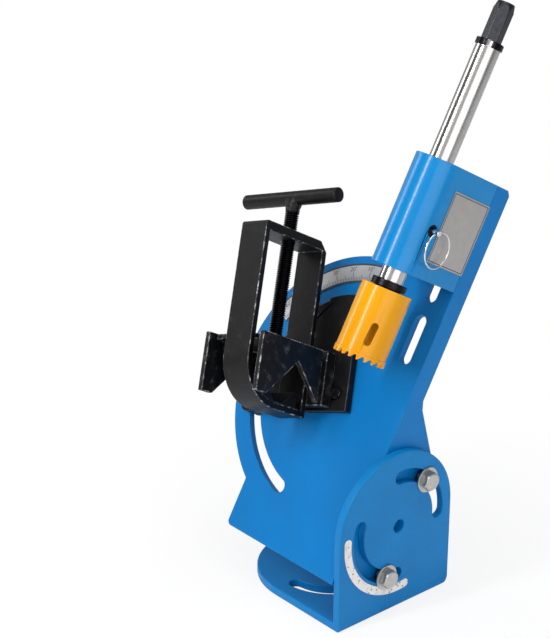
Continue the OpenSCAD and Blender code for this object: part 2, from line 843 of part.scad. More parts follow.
module t_handle() {
    weld_q = bar_q - weld_h;
    color("#1d1d20") in_clamp() translate([frame_x, jaw_y, 0]) difference() {
        union() {
            translate([bar_off - bar_len / 2, 0, bar_q]) rotate([0, 90, 0]) {
                cylinder(r1 = bar_d / 2 - bar_chamfer, r2 = bar_d / 2, h = bar_chamfer);
                translate([0, 0, bar_chamfer]) cylinder(r = bar_d / 2, h = bar_len - 2 * bar_chamfer);
                translate([0, 0, bar_len - bar_chamfer])
                    cylinder(r1 = bar_d / 2, r2 = bar_d / 2 - bar_chamfer, h = bar_chamfer);
            }
            // weld round the screw's end
            translate([0, 0, weld_q]) cylinder(r1 = screw_d / 2, r2 = screw_d / 2 + weld_flare, h = weld_h);
        }
        translate([0, 0, weld_q - 1]) cylinder(r = core_r, h = weld_h - bar_d / 2 + 2);
    }
}

// Side view of a jaw's end plate: X is the clamp frame's Y
module jaw_end_outline() {
    slope = jaw_apex - jaw_low;
    polygon([
        [jaw_front, jaw_top], [jaw_front, jaw_low], [jaw_y - slope, jaw_low], [jaw_y, jaw_apex],
        [jaw_back, jaw_apex - (jaw_back - jaw_y)], [jaw_back, jaw_top]
    ]);
}

module upper_jaw() {
    color("#232326") in_clamp() difference() {
        union() {
            for (p = [jaw_left, jaw_right - jaw_wall]) translate([p, 0, 0])
                rotate([90, 0, 90]) linear_extrude(height = jaw_wall) jaw_end_outline();
            translate([jaw_left, frame_front + frame_t + leg_gap, jaw_top - jaw_wall])
                cube([jaw_right - jaw_left, frame_back - frame_front - 2 * (frame_t + leg_gap), jaw_wall]);
        }
        translate([frame_x, jaw_y, jaw_top - jaw_wall - 1]) cylinder(r = rivet_r + run_gap, h = jaw_wall + 2);
    }
}

// The riveted tail of the clamp screw
module jaw_rivet() {
    color("#c9cbcd") in_clamp() translate([frame_x, jaw_y, jaw_top - jaw_wall - slide_gap]) {
        cylinder(r = rivet_r, h = screw_low - jaw_top + jaw_wall + slide_gap);
        translate([0, 0, -rivet_head_t]) cylinder(r = rivet_r + rivet_lip, h = rivet_head_t);
    }
}

module jaw_washer() {
    color("#c9cbcd") in_clamp() translate([frame_x, jaw_y, jaw_top])
        washer(jaw_washer_r, rivet_r + run_gap, jaw_washer_t);
}

base_bracket();
tilt_bolts();
tilt_washers();
tilt_nuts();
main_plate();
angle_scale();
spindle_block();
name_plate();
block_bolts();
block_washers();
bearing_cups();
bearing_cages();
bearing_rollers();
spindle_seals();
spindle_shaft();
stop_collar();
drive_hex();
saw_nut();
hole_saw();
plunger_sleeve();
lock_pin();
pin_ring();
swivel_plate();
pivot_bolt();
pivot_washer();
lock_bolt();
lock_washer();
spacer_block();
clamp_frame();
lower_jaw();
clamp_screw();
t_handle();
upper_jaw();
jaw_rivet();
jaw_washer();
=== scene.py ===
"""The looks of a tube notcher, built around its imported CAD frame.

Painted steel plates, a ground spindle with a hole saw, and a screw clamp. Pieces
are drawn in millimetres in the CAD source's own systems, such as HEAD and CLAMP,
and placed in metres in the row's frame. The camera and lamps are in metres.
"""

import json
import logging
import math
from dataclasses import dataclass, field
from enum import Enum

import bmesh
import bpy
import numpy as np
from mathutils import Matrix

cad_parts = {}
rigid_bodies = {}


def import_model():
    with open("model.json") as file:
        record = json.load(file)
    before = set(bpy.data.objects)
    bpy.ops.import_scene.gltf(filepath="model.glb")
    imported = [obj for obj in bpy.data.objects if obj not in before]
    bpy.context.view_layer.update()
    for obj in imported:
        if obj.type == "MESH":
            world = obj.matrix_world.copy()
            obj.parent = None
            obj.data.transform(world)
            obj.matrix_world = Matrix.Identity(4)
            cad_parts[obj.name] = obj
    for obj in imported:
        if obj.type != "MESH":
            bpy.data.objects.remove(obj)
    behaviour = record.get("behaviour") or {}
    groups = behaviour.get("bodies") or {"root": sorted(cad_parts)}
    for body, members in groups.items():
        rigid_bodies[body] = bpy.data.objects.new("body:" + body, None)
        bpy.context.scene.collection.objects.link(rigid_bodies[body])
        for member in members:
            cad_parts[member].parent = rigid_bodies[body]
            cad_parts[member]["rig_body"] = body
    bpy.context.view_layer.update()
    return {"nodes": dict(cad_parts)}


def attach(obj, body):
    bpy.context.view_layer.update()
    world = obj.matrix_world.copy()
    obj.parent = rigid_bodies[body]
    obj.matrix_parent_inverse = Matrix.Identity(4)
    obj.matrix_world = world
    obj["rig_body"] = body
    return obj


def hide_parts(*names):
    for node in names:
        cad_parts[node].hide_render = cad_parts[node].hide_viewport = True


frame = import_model()

LOG = logging.getLogger("notcher")
MM = 0.001
# The photograph's longer side in pixels
IMAGE_H = 638
SENSOR_MM = 36.0
# A CAD mesh's points are rounded to this many digits of a metre, then merged within a distance
POINT_DIGITS = 7
SAME_POINT = 2e-6
# Triangles that lean less than this from each other are one flat face
FLAT_DEG = 0.05
# Edges sharper than this are rounded
ROUNDED_DEG = 35.0


# ---- coordinate systems ----


@dataclass(frozen=True)
class Axes:
    """A turned coordinate system of the CAD source, in millimetres."""

    origin: tuple[float, float, float]
    x: tuple[float, float, float]
    y: tuple[float, float, float]
    z: tuple[float, float, float]

    def place(self, points: np.ndarray) -> np.ndarray:
        """Takes local millimetre points to metres in the row's frame.

        Args:
            points: an array whose last axis holds x, y and z.

        Returns:
            An array of the same shape: origin plus each coordinate times its axis.
        """
        turn = np.array([self.x, self.y, self.z])
        return (np.array(self.origin) + np.asarray(points, float) @ turn) * MM

    def inside(self, origin: tuple[float, float, float], turn_deg: float) -> "Axes":
        """Makes a system inside this one, turned about this one's Y axis.

        Args:
            origin: the new origin in this system.
            turn_deg: how far its X leans towards this system's Z.

        Returns:
            The new system.
        """
        c, s = math.cos(math.radians(turn_deg)), math.sin(math.radians(turn_deg))
        x, y, z = (np.array(a) for a in (self.x, self.y, self.z))
        start = np.array(self.origin) + np.array(origin) @ np.array([x, y, z])
        return Axes(tuple(start), tuple(c * x + s * z), tuple(y), tuple(c * z - s * x))


TILT = math.radians(30)
TILT_AXIS = (77, 3, 83)
SWIVEL_X, SWIVEL_Z, SWIVEL_DEG = -82.6, 86.8, 20
FRONT_Y = -45.7
ROW = Axes((0, 0, 0), (1, 0, 0), (0, 1, 0), (0, 0, 1))
HEAD = Axes(
    TILT_AXIS,
    (1, 0, 0),
    (0, math.cos(TILT), -math.sin(TILT)),
    (0, math.sin(TILT), math.cos(TILT)),
)
CLAMP = HEAD.inside((SWIVEL_X, 0, SWIVEL_Z), SWIVEL_DEG)
# The upright's outer face seen from outside: X to the back, Y up, Z outwards
UPRIGHT = Axes(TILT_AXIS, (0, 1, 0), (0, 0, 1), (1, 0, 0))
# The head plate's front face round the swivel axis: X right, Y up, Z to the front
DIAL = Axes(
    tuple(HEAD.place(np.array([SWIVEL_X, FRONT_Y, SWIVEL_Z])) / MM),
    HEAD.x,
    HEAD.z,
    tuple(-np.array(HEAD.y)),
)


# ---- materials ----


def linear(colour: str) -> tuple[float, float, float, float]:
    """Turns an sRGB hex colour into linear light.

    Args:
        colour: six hex digits after a hash.

    Returns:
        Red, green, blue and an alpha of 1.
    """
    parts = [int(colour[i : i + 2], 16) / 255 for i in (1, 3, 5)]
    return (*[c / 12.92 if c <= 0.04045 else ((c + 0.055) / 1.055) ** 2.4 for c in parts], 1.0)


def add(tree: bpy.types.NodeTree, kind: str, settings: dict, links: dict) -> bpy.types.Node:
    """Adds one node with its settings and incoming links.

    Args:
        tree: the node tree.
        kind: the node's type name after ShaderNode.
        settings: node properties by name, and socket values by socket name or index.
        links: an output socket for each input socket's name or index.

    Returns:
        The node.
    """
    node = tree.nodes.new("ShaderNode" + kind)
    for key, value in settings.items():
        if isinstance(key, str) and hasattr(node, key):
            setattr(node, key, value)
        else:
            node.inputs[key].default_value = value
    for key, socket in links.items():
        tree.links.new(socket, node.inputs[key])
    return node


def grain(size_mm: float) -> float:
    """Gives the texture scale whose features are size_mm across."""
    return 1.0 / (size_mm * MM)


def object_coords(tree: bpy.types.NodeTree) -> bpy.types.NodeSocket:
    """Gives the socket of a piece's own coordinates."""
    return add(tree, "TexCoord", {}, {}).outputs["Object"]


def two_tone(
    tree: bpy.types.NodeTree, first: str, second: str, amount: bpy.types.NodeSocket
) -> bpy.types.NodeSocket:
    """Mixes two hex colours.

    Args:
        tree: the node tree.
        first: the colour where amount is 0.
        second: the colour where amount is 1.
        amount: the socket that says how much of the second there is.

    Returns:
        The mixed colour's socket.
    """
    shades = {"data_type": "RGBA", 6: linear(first), 7: linear(second)}
    return add(tree, "Mix", shades, {0: amount}).outputs[2]


def surface(tree: bpy.types.NodeTree, out: bpy.types.Node, settings: dict, links: dict) -> None:
    """Ends a material's tree with its shader.

    Args:
        tree: the node tree.
        out: the tree's output node.
        settings: the shader's own values.
        links: an output socket for each of the shader's linked inputs.
    """
    shader = add(tree, "BsdfPrincipled", settings, links)
    tree.links.new(shader.outputs["BSDF"], out.inputs["Surface"])


def bare_tree(name: str) -> tuple[bpy.types.Material, bpy.types.NodeTree, bpy.types.Node]:
    """Makes a material that holds only its output node.

    Args:
        name: the material's name.

    Returns:
        The material, its tree and its output node.
    """
    material = bpy.data.materials.new(name)
    material.use_nodes = True
    tree = material.node_tree
    tree.nodes.clear()
    return material, tree, tree.nodes.new("ShaderNodeOutputMaterial")


@dataclass(frozen=True)
class Finish:
    """What every finish has: a name, and a material made once from build."""

    name: str

    def material(self) -> bpy.types.Material:
        """Gives the finish's material, made on first use."""
        found = bpy.data.materials.get(self.name)
        return found if found else self.build()

    def build(self) -> bpy.types.Material:
        """Makes the material; each kind of finish has its own way."""
        raise NotImplementedError


@dataclass(frozen=True)
class Enamel(Finish):
    """Sprayed and baked enamel: a clear gloss over colour, with a fine orange peel.

    The peel's waves are peel_mm across, so highlights get a rough outline.
    """

    colour: str = "#0a7bc4"
    shade: str = "#0b6fb2"
    roughness: float = 0.32
    peel_mm: float = 2.2
    peel_depth: float = 0.05
    coat: float = 0.05

    def build(self) -> bpy.types.Material:
        """Mixes two shades in slow clouds and bends the normal by the peel."""
        material, tree, out = bare_tree(self.name)
        coords = object_coords(tree)
        clouds = add(tree, "TexNoise", {"Scale": grain(45), "Detail": 3.0}, {"Vector": coords})
        soft = add(
            tree, "MapRange", {"From Min": 0.35, "From Max": 0.65}, {"Value": clouds.outputs["Fac"]}
        )
        colour = two_tone(tree, self.colour, self.shade, soft.outputs["Result"])
        dull = add(
            tree,
            "MapRange",
            {"To Min": self.roughness - 0.05, "To Max": self.roughness + 0.07},
            {"Value": clouds.outputs["Fac"]},
        )
        peel = add(tree, "TexNoise", {"Scale": grain(self.peel_mm), "Detail": 2.0}, {"Vector": coords})
        bump = add(
            tree,
            "Bump",
            {"Strength": self.peel_depth, "Distance": 0.2 * MM},
            {"Height": peel.outputs["Fac"]},
        )
        surface(
            tree,
            out,
            {"Specular IOR Level": 0.18, "Coat Weight": self.coat, "Coat Roughness": 0.15},
            {
                "Base Color": colour,
                "Roughness": dull.outputs["Result"],
                "Normal": bump.outputs["Normal"],
            },
        )
        return material


@dataclass(frozen=True)
class BlackPaint(Finish):
    """Satin black paint over steel plate, dusty, with small light scuffs.

    The dust grains are drawn 0.6 mm apart, coarser than real, so that they show.
    """

    colour: str = "#0a0a0c"
    scuff: str = "#77777a"
    roughness: float = 0.42
    dust: float = 0.5
    scuff_from: float = 0.62

    def build(self) -> bpy.types.Material:
        """Puts speckles where fine and coarse noise both run high."""
        material, tree, out = bare_tree(self.name)
        coords = object_coords(tree)
        coarse = add(tree, "TexNoise", {"Scale": grain(9), "Detail": 4.0}, {"Vector": coords})
        fine = add(tree, "TexNoise", {"Scale": grain(0.6), "Detail": 2.0}, {"Vector": coords})
        both = add(
            tree, "Math", {"operation": "MULTIPLY"}, {0: coarse.outputs["Fac"], 1: fine.outputs["Fac"]}
        )
        low = self.scuff_from * 0.55
        specks = add(
            tree,
            "MapRange",
            {"From Min": low, "From Max": low + 0.08, "To Max": self.dust},
            {"Value": both.outputs["Value"]},
        )
        colour = two_tone(tree, self.colour, self.scuff, specks.outputs["Result"])
        dull = add(
            tree,
            "MapRange",
            {"To Min": self.roughness - 0.08, "To Max": self.roughness + 0.1},
            {"Value": coarse.outputs["Fac"]},
        )
        bump = add(
            tree, "Bump", {"Strength": 0.12, "Distance": 0.15 * MM}, {"Height": fine.outputs["Fac"]}
        )
        surface(
            tree,
            out,
            {"Specular IOR Level": 0.25},
            {
                "Base Color": colour,
                "Roughness": dull.outputs["Result"],
                "Normal": bump.outputs["Normal"],
            },
        )
        return material


@dataclass(frozen=True)
class RubbedEdgeAndSheen(Finish):
    """A paint's edge, pale in broken streaks some 5 mm long: partly rubbed through to metal, partly painted
    edge highlight.
    """

    paint: str = "#151518"
    bare: str = "#b9b7b3"
    streak_mm: float = 5.0
    rubbed_and_sheen_from: float = 0.5

    def build(self) -> bpy.types.Material:
        """Mixes paint and a pale edge colour, standing for bare steel and painted highlight, where noise
        passes a level.
        """
        material, tree, out = bare_tree(self.name)
        coords = object_coords(tree)
        streaks = add(
            tree,
            "TexNoise",
            {"Scale": grain(self.streak_mm), "Detail": 6.0, "Roughness": 0.7},
            {"Vector": coords},
        )
        # Where the noise runs high the edge turns pale: partly rubbed-through wear, partly painted edge
        # highlight
        worn = add(
            tree,
            "MapRange",
            {"From Min": self.rubbed_and_sheen_from, "From Max": self.rubbed_and_sheen_from + 0.12},
            {"Value": streaks.outputs["Fac"]},
        ).outputs["Result"]
        colour = two_tone(tree, self.paint, self.bare, worn)
        surface(tree, out, {"Roughness": 0.4}, {"Base Color": colour})
        return material


@dataclass(frozen=True)
class Steel(Finish):
    """Bare or plated metal with its own mottling, and lathe or brush lines.

    Where turned is true the noise is stretched along the row's X and Y and stays
    fine along its Z. The Mapping node scales before it turns, so the lines lie level
    and not square to the tilted shaft.
    """

    colour: str = "#c9cbcd"
    shade: str = "#a3a5a8"
    roughness: float = 0.25
    spread: float = 0.08
    mottle_mm: float = 4.0
    line_mm: float = 0.35
    line_depth: float = 0.04
    turned: bool = False

    def build(self) -> bpy.types.Material:
        """Mixes two metal shades and bends the normal by fine lines."""
        material, tree, out = bare_tree(self.name)
        coords = object_coords(tree)
        mottle = add(
            tree, "TexNoise", {"Scale": grain(self.mottle_mm), "Detail": 3.0}, {"Vector": coords}
        ).outputs["Fac"]
        aligned = add(
            tree,
            "Mapping",
            {"Rotation": (TILT, 0, 0), "Scale": (0.04, 0.04, 1.0) if self.turned else (1.0, 1.0, 1.0)},
            {"Vector": coords},
        ).outputs["Vector"]
        lines = add(tree, "TexNoise", {"Scale": grain(self.line_mm), "Detail": 2.0}, {"Vector": aligned})
        colour = two_tone(tree, self.colour, self.shade, mottle)
        dull = add(
            tree,
            "MapRange",
            {"To Min": self.roughness - self.spread, "To Max": self.roughness + self.spread},
            {"Value": mottle},
        )
        bump = add(
            tree,
            "Bump",
            {"Strength": self.line_depth, "Distance": 0.1 * MM},
            {"Height": lines.outputs["Fac"]},
        )
        surface(
            tree,
            out,
            {"Metallic": 1.0},
            {
                "Base Color": colour,
                "Roughness": dull.outputs["Result"],
                "Normal": bump.outputs["Normal"],
            },
        )
        return material


@dataclass(frozen=True)
class WornStrip(Finish):
    """A pale printed strip, soiled with small dark specks and long faint stains."""

    colour: str = "#e3dfdb"
    stain: str = "#bdb5b0"
    speck: str = "#5c4f48"
    speck_mm: float = 3.2
    roughness: float = 0.4

    def build(self) -> bpy.types.Material:
        """Drops specks from cell centres and stains from slow noise."""
        material, tree, out = bare_tree(self.name)
        coords = object_coords(tree)
        cells = add(
            tree, "TexVoronoi", {"Scale": grain(self.speck_mm), "Randomness": 1.0}, {"Vector": coords}
        )
        dots = add(
            tree,
            "MapRange",
            {"From Min": 0.34, "From Max": 0.18},
            {"Value": cells.outputs["Distance"]},
        )
        chance = add(
            tree, "MapRange", {"From Min": 0.4, "From Max": 0.48}, {"Value": cells.outputs["Color"]}
        )
        marks = add(
            tree, "Math", {"operation": "MULTIPLY"}, {0: dots.outputs["Result"], 1: chance.outputs["Result"]}
        )
        clouds = add(tree, "TexNoise", {"Scale": grain(8), "Detail": 5.0}, {"Vector": coords})
        stained = add(
            tree, "MapRange", {"From Min": 0.5, "From Max": 0.75}, {"Value": clouds.outputs["Fac"]}
        )
        pale = two_tone(tree, self.colour, self.stain, stained.outputs["Result"])
        colour = add(
            tree,
            "Mix",
            {"data_type": "RGBA", 7: linear(self.speck)},
            {0: marks.outputs["Value"], 6: pale},
        )
        surface(tree, out, {"Roughness": self.roughness}, {"Base Color": colour.outputs[2]})
        return material


@dataclass(frozen=True)
class Print(Finish):
    """Screen-printed ink: matt, slightly uneven."""

    colour: str = "#1c1c1f"
    faded: str = "#3a3a3e"

    def build(self) -> bpy.types.Material:
        """Mixes full and faded ink in 1 mm noise."""
        material, tree, out = bare_tree(self.name)
        coords = object_coords(tree)
        noise = add(tree, "TexNoise", {"Scale": grain(1.0)}, {"Vector": coords})
        colour = two_tone(tree, self.colour, self.faded, noise.outputs["Fac"])
        surface(tree, out, {"Roughness": 0.6}, {"Base Color": colour})
        return material


class Paint(Enum):
    """Every finish on the notcher."""

    HEAD_BLUE = Enamel("head_enamel", "#0073b9", "#006eb1", 0.38)
    BLOCK_BLUE = Enamel("block_enamel", "#007ebf", "#0079b8", 0.26, peel_depth=0.25, coat=0.3)
    BRACKET_BLUE = Enamel("bracket_enamel", "#0678ba", "#0572b1", 0.42)
    SAW_YELLOW = Enamel("saw_enamel", "#de9c00", "#d99200", 0.22, peel_mm=4.0, peel_depth=0.03, coat=0.2)
    BLACK = BlackPaint("clamp_black", dust=0.16, scuff_from=0.66)
    DUSTY_BLACK = BlackPaint("jaw_black", dust=0.5, scuff_from=0.6)
    # Pale edge streaks: partly rubbed-through wear, partly painted edge highlight
    RUBBED_SHEEN = RubbedEdgeAndSheen("rubbed_and_sheen_edge")
    SOFT_RUBBED_SHEEN = RubbedEdgeAndSheen("soft_rubbed_and_sheen_edge", bare="#6d6c6c", rubbed_and_sheen_from=0.56)
    GROUND = Steel("ground_steel", "#c9c7c6", "#b3b0ae", 0.2, 0.03, 12.0, line_depth=0.008, turned=True)
    ZINC = Steel("zinc_plate", "#d2cfc8", "#a7a49e", 0.34, 0.1, 2.5)
    CHROME = Steel("bright_wire", "#dedfe1", "#c9cbcd", 0.12, 0.03)
    DARK_STEEL = Steel("blued_steel", "#4b4c50", "#333438", 0.34, 0.1, 3.0)
    BLACK_OXIDE = Steel("black_oxide", "#26262a", "#17171a", 0.3, 0.1, 3.0)
    FOIL = Steel("label_foil", "#bdbab8", "#b0adab", 0.42, 0.05, 6.0)
    SCALE = Steel("scale_strip", "#cfd0d4", "#bcbdc2", 0.45, 0.06, 10.0)
    BRASS = Steel("cage_brass", "#8f7842", "#7a6636", 0.35)
    STRIP = WornStrip("tilt_strip")
    INK = Print("black_ink")
    RUBBER = Print("seal_rubber", "#1c1c1d", "#2a2a2b")


# ---- meshes ----


def new_object(name: str, vertices: np.ndarray, faces: list) -> bpy.types.Object:
    """Makes a mesh object at the origin from row-frame points in metres.

    Args:
        name: the object's name.
        vertices: points of shape (n, 3).
        faces: vertex numbers of each face.

    Returns:
        The object, its faces turned outwards.
    """
    mesh = bpy.data.meshes.new(name)
    mesh.from_pydata(np.asarray(vertices, float).reshape(-1, 3).tolist(), [], [list(f) for f in faces])
    shell = bmesh.new()
    shell.from_mesh(mesh)
    bmesh.ops.recalc_face_normals(shell, faces=shell.faces)
    shell.to_mesh(mesh)
    shell.free()
    thing = bpy.data.objects.new(name, mesh)
    bpy.context.scene.collection.objects.link(thing)
    return thing


def grid_faces(rows: int, columns: int) -> np.ndarray:
    """Numbers the quads of a grid whose last column meets its first.

    Args:
        rows: grid rows.
        columns: grid columns.

    Returns:
        Vertex numbers of shape (quads, 4).
    """
    r, c = np.meshgrid(np.arange(rows - 1), np.arange(columns), indexing="ij")
    n = (c + 1) % columns
    low, high = r * columns, (r + 1) * columns
    return np.stack([low + c, low + n, high + n, high + c], -1).reshape(-1, 4)


def tube_like(name: str, axes: Axes, rings: np.ndarray) -> bpy.types.Object:
    """Skins closed rings of points and caps both ends with fans.

    Args:
        name: the object's name.
        axes: the system that the rings are in.
        rings: millimetre points of shape (rings, points, 3).

    Returns:
        The closed object.
    """
    count, around = rings.shape[:2]
    ends = [rings[0].mean(0), rings[-1].mean(0)]
    points = np.concatenate([rings.reshape(-1, 3), ends])
    faces = grid_faces(count, around).tolist()
    last = (count - 1) * around
    for k in range(around):
        faces.append([count * around, (k + 1) % around, k])
        faces.append([count * around + 1, last + k, last + (k + 1) % around])
    return new_object(name, axes.place(points), faces)


def lathe(
    name: str, axes: Axes, centre: tuple[float, float], profile: list, around: int = 48
) -> bpy.types.Object:
    """Turns a profile round an axis parallel to the system's Z.

    Each point is centre plus r times (cos a, sin a), at height z.

    Args:
        name: the object's name.
        axes: the system.
        centre: the axis in the system's XY plane.
        profile: pairs of radius and height.
        around: points in a ring.

    Returns:
        The closed object.
    """
    a = np.linspace(0, 2 * math.pi, around, endpoint=False)
    r, z = np.array(profile, float).T
    rings = np.stack(
        [
            centre[0] + r[:, None] * np.cos(a),
            centre[1] + r[:, None] * np.sin(a),
            np.broadcast_to(z[:, None], (len(z), around)),
        ],
        -1,
    )
    return tube_like(name, axes, rings)


def plates(name: str, axes: Axes, corners: np.ndarray, low: float, high: float) -> bpy.types.Object:
    """Makes thin upright blocks from four-cornered outlines.

    Args:
        name: the object's name.
        axes: the system whose XY plane holds the outlines.
        corners: outlines of shape (n, 4, 2), in millimetres.
        low: the blocks' lower height.
        high: their upper height.

    Returns:
        One object that holds every block.
    """
    flat = np.asarray(corners, float)
    count = len(flat)
    both = np.stack([np.full(flat.shape[:2], low), np.full(flat.shape[:2], high)], 1)
    points = np.concatenate(
        [np.broadcast_to(flat[:, None], (count, 2, 4, 2)), both[..., None]], -1
    ).reshape(-1, 3)
    pattern = np.array([[0, 3, 2, 1], [4, 5, 6, 7], [0, 1, 5, 4], [1, 2, 6, 5], [2, 3, 7, 6], [3, 0, 4, 7]])
    faces = (np.arange(count)[:, None, None] * 8 + pattern).reshape(-1, 4)
    return new_object(name, axes.place(points), faces.tolist())


def arc_plate(
    name: str,
    axes: Axes,
    radii: tuple[float, float],
    angles: tuple[float, float],
    heights: tuple[float, float],
    round_ends: bool = False,
    steps: int = 96,
) -> bpy.types.Object:
    """Makes a flat curved strip with straight or round ends.

    Across the strip t runs from -1 to 1 and the radius is the middle radius plus t
    times the half width; at a round end the half width shrinks as a circle does.

    Args:
        name: the object's name.
        axes: the system whose XY plane holds the strip.
        radii: the inner and outer radius in millimetres.
        angles: the ends in degrees from X towards Y.
        heights: the lower and upper face.
        round_ends: whether the ends are half circles.
        steps: points along the strip.

    Returns:
        The closed object.
    """
    middle, half = (radii[0] + radii[1]) / 2, (radii[1] - radii[0]) / 2
    u = np.linspace(0, 1, steps)
    u = 0.5 - 0.5 * np.cos(math.pi * u) if round_ends else u
    a = np.radians(angles[0] + (angles[1] - angles[0]) * u)
    length = abs(a[-1] - a[0]) * middle
    near = np.minimum(u, 1 - u) * length
    past = 1 - np.minimum(near / half, 1)
    # The clip keeps a hair of width at the very end, so that no face closes up
    shrink = np.sqrt(np.clip(1 - past**2, 1e-4, 1)) if round_ends else np.ones_like(u)
    t = np.array([-1.0, 1.0, 1.0, -1.0])
    z = np.array([heights[0], heights[0], heights[1], heights[1]])
    r = middle + half * shrink[:, None] * t
    rings = np.stack([r * np.cos(a)[:, None], r * np.sin(a)[:, None], np.broadcast_to(z, r.shape)], -1)
    return tube_like(name, axes, rings)


def smooth(thing: bpy.types.Object, angle: float = 32.0) -> bpy.types.Object:
    """Shades a mesh smooth except over edges sharper than angle degrees."""
    thing.data.shade_smooth()
    thing.data.set_sharp_from_angle(angle=math.radians(angle))
    return thing


def bevel(thing: bpy.types.Object, width_mm: float, segments: int = 2, edge_slot: int = -1) -> None:
    """Rounds a piece's sharp edges, and shades its flat faces flat.

    Args:
        thing: the piece.
        width_mm: the rounding's width.
        segments: faces across it.
        edge_slot: the material slot of the rounded faces, or -1 for their neighbours'.
    """
    mod = thing.modifiers.new("rounding", "BEVEL")
    mod.width = width_mm * MM
    mod.segments = segments
    mod.limit_method = "ANGLE"
    mod.angle_limit = math.radians(ROUNDED_DEG)
    mod.use_clamp_overlap = False
    mod.material = edge_slot
    thing.modifiers.new("flat_faces", "WEIGHTED_NORMAL").keep_sharp = True


def dress(thing: bpy.types.Object, *paints: Paint) -> bpy.types.Object:
    """Gives a piece its materials, one per slot."""
    thing.data.materials.clear()
    for paint in paints:
        thing.data.materials.append(paint.value.material())
    return thing


def finish_node(node: str, paint: Paint) -> None:
    """Gives a CAD node that stays its material, and reports it."""
    dress(frame["nodes"][node], paint)
    LOG.info("CAD node %s: %s", node, paint.name)


def settle(thing: bpy.types.Object, body: str, slot: str, *replaced: str) -> bpy.types.Object:
    """Rides a piece on its body and hides the CAD nodes that it replaces.

    Args:
        thing: the piece.
        body: the CAD body.
        slot: the record's material slot; not used.
        replaced: CAD nodes that it replaces.

    Returns:
        The piece.
    """
    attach(thing, body)
    if replaced:
        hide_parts(*replaced)
    LOG.info("piece %s on %s: %d faces", thing.name, body, len(thing.data.polygons))
    return thing


def softened(
    node: str, slot: str, paint: Paint, edge: Paint | None = None, width_mm: float = 0.7, segments: int = 2
) -> bpy.types.Object:
    """Copies a CAD node, merges its triangles into faces and rounds its edges.

    Args:
        node: the CAD node that the piece replaces.
        slot: the record's material slot.
        paint: the finish of its faces.
        edge: the finish of its rounded edges, or None for the same.
        width_mm: the rounding's width.
        segments: faces across the rounding.

    Returns:
        The piece.
    """
    source = frame["nodes"][node]
    count = len(source.data.vertices)
    points = np.empty(count * 3)
    source.data.vertices.foreach_get("co", points)
    corners = np.empty(len(source.data.loops), int)
    source.data.loops.foreach_get("vertex_index", corners)
    rounded = np.round(points.reshape(-1, 3), POINT_DIGITS)
    merged, index = np.unique(rounded, axis=0, return_inverse=True)
    triangles = index.reshape(-1)[corners].reshape(-1, 3)
    whole = (triangles != np.roll(triangles, 1, 1)).all(1)
    mesh = bpy.data.meshes.new("painted_" + node)
    mesh.from_pydata(merged.tolist(), [], triangles[whole].tolist())
    shell = bmesh.new()
    shell.from_mesh(mesh)
    bmesh.ops.remove_doubles(shell, verts=shell.verts, dist=SAME_POINT)
    bmesh.ops.dissolve_limit(
        shell,
        angle_limit=math.radians(FLAT_DEG),
        verts=shell.verts,
        edges=shell.edges,
        delimit={"NORMAL"},
    )
    shell.to_mesh(mesh)
    shell.free()
    thing = bpy.data.objects.new("painted_" + node, mesh)
    bpy.context.scene.collection.objects.link(thing)
    mesh.shade_smooth()
    dress(thing, *([paint, edge] if edge else [paint]))
    bevel(thing, width_mm, segments, 1 if edge else -1)
    return settle(thing, source["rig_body"], slot, node)


# ---- sub-assemblies ----


@dataclass
class Bracket:
    """The bent foot and upright leg with their tilt bolts and a worn strip."""

    strip_radii: tuple[float, float] = (58.0, 66.0)
    strip_ends: tuple[float, float] = (172.0, 282.0)
    strip_t: float = 0.45

    def build(self) -> None:
        """Makes the painted plate, the strip and the bolts' finish."""
        softened("base_bracket", "blue_bracket", Paint.BRACKET_BLUE, width_mm=1.1, segments=3)
        strip = arc_plate(
            "tilt_strip", UPRIGHT, self.strip_radii, self.strip_ends, (0.0, self.strip_t), True
        )
        settle(dress(smooth(strip), Paint.STRIP), "bracket", "plate_metal")
        for node in ("tilt_bolts", "tilt_washers", "tilt_nuts"):
            softened(node, "zinc", Paint.ZINC, width_mm=0.35)


